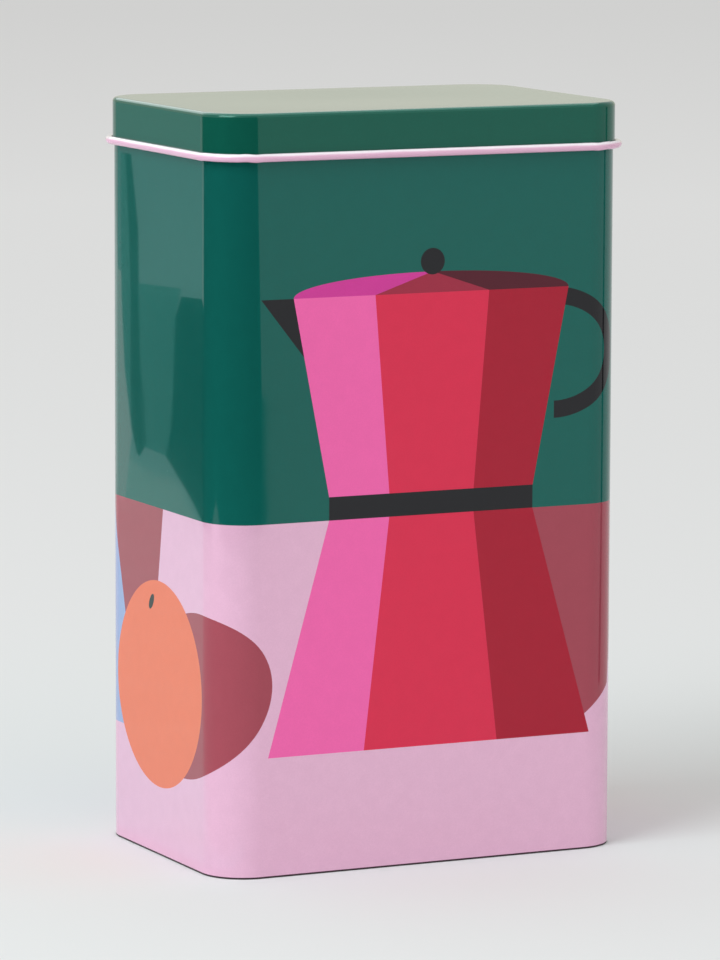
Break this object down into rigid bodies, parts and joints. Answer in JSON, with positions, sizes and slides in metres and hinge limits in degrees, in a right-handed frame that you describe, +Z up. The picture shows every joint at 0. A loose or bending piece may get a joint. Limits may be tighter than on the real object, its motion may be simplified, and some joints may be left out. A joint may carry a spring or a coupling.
{
  "type": "coffee tin",
  "caption": "Tall rectangular tinplate storage tin with rounded corners, a curled mouth, a clamped recessed base and a lift-off slip lid with a rolled bead.",
  "frame": {"origin": "middle of the standing rim, on the surface that the tin stands on", "axes": "+Z up through the lid, X along the wide printed faces with the front face towards -Y, Y through the depth"},
  "size_m": [0.1198, 0.0808, 0.195],
  "materials": {
    "printed_body": "gloss lacquer over flat printed colours",
    "bare_tinplate": "bright tinplate with fine rolling grain",
    "printed_lid": "gloss lacquer over flat printed colours"
  },
  "bodies": {
    "tin": {"body_shell": "printed_body", "base_panel": "bare_tinplate"},
    "lid": {"lid": "printed_lid"}
  },
  "joints": [
    {"name": "lid_lift", "type": "slide", "parent": "tin", "child": "lid", "axis": [0, 0, 1], "range_m": [0, 0.1]}
  ]
}
